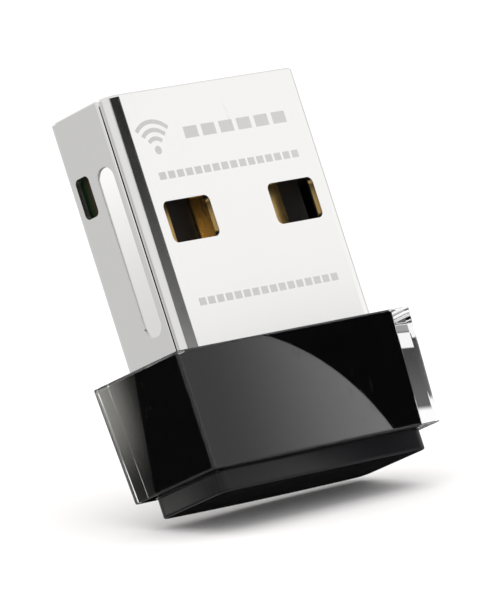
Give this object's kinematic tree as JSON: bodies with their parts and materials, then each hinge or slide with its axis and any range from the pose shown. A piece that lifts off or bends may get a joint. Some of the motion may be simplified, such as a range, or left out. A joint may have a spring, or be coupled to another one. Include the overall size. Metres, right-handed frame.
{
  "type": "usb wifi adapter",
  "caption": "Nano USB wireless adapter: a steel plug standing in a short tapered black cover inside a clear jacket, closed by a flat end cap.",
  "frame": {"origin": "middle of the flat end face, at the bottom of the part", "axes": "+Z from the end cap to the plug's mouth, +X across the plug's wide face, -Y out of the front wide face"},
  "size_m": [0.0146, 0.006, 0.0186],
  "materials": {
    "shell_steel": "satin nickel-plated steel sheet",
    "carrier_plastic": "moulded, dark brown-black",
    "contact_gold": "gold plated, smooth",
    "solder": "bright solder",
    "board_green": "green solder mask",
    "amber_tape": "thin amber film",
    "chip_epoxy": "moulded black epoxy",
    "tinned_copper": "matt tin",
    "ceramic": "fired ceramic",
    "crystal_lid_metal": "smooth nickel lid",
    "ferrite": "moulded ferrite",
    "capacitor_tan": "ceramic with tinned ends",
    "resistor_black": "film resistor with tinned ends",
    "antenna_copper": "copper under solder mask",
    "lamp_clear": "clear resin",
    "core_black": "piano black",
    "jacket_clear": "clear polished plastic",
    "cap_black": "gloss black"
  },
  "bodies": {
    "root": {"plug_shell": "shell_steel", "contact_carrier": "carrier_plastic", "power_contact": "contact_gold", "data_minus_contact": "contact_gold", "data_plus_contact": "contact_gold", "ground_contact": "contact_gold", "contact_solder_joints": "solder", "shell_solder_joints": "solder", "circuit_board": "board_green", "insulation_tape": "amber_tape", "wifi_chip": "chip_epoxy", "chip_terminals": "tinned_copper", "crystal_base": "ceramic", "crystal_lid": "crystal_lid_metal", "voltage_regulator": "chip_epoxy", "regulator_legs": "tinned_copper", "power_inductor": "ferrite", "decoupling_capacitors": "capacitor_tan", "crystal_capacitors": "capacitor_tan", "series_resistors": "resistor_black", "esd_protector": "chip_epoxy", "antenna_trace": "antenna_copper", "status_led": "lamp_clear", "cover_core": "core_black", "clear_jacket": "jacket_clear", "end_cap": "cap_black"}
  },
  "joints": []
}
